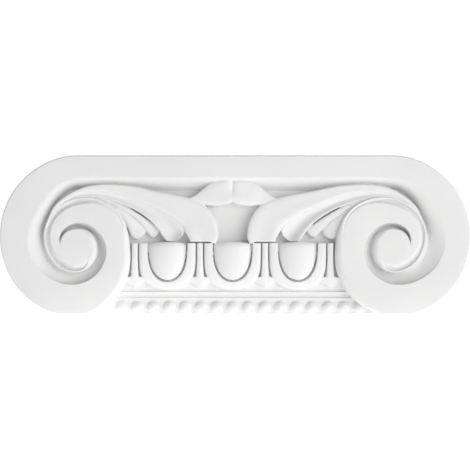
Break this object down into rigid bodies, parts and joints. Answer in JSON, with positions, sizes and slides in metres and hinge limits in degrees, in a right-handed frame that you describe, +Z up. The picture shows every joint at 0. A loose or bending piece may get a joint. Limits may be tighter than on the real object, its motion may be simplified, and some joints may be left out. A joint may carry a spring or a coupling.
{
  "type": "ionic pilaster capital",
  "caption": "Ionic pilaster capital with volutes, half palmettes, an egg-and-dart band and a bead course, for the front of a flat pilaster.",
  "frame": {"origin": "middle of the bounding box's bottom face: on the flat underside, half way along and half way through the depth", "axes": "+X along the capital to the viewer's right, +Z up, -Y out of the carved front, +Y towards the wall behind"},
  "size_m": [0.36, 0.045, 0.1214],
  "materials": {
    "white_primer": "smooth matt white primer over a hard foam casting"
  },
  "bodies": {
    "root": {"ionic_capital": "white_primer"}
  },
  "joints": []
}
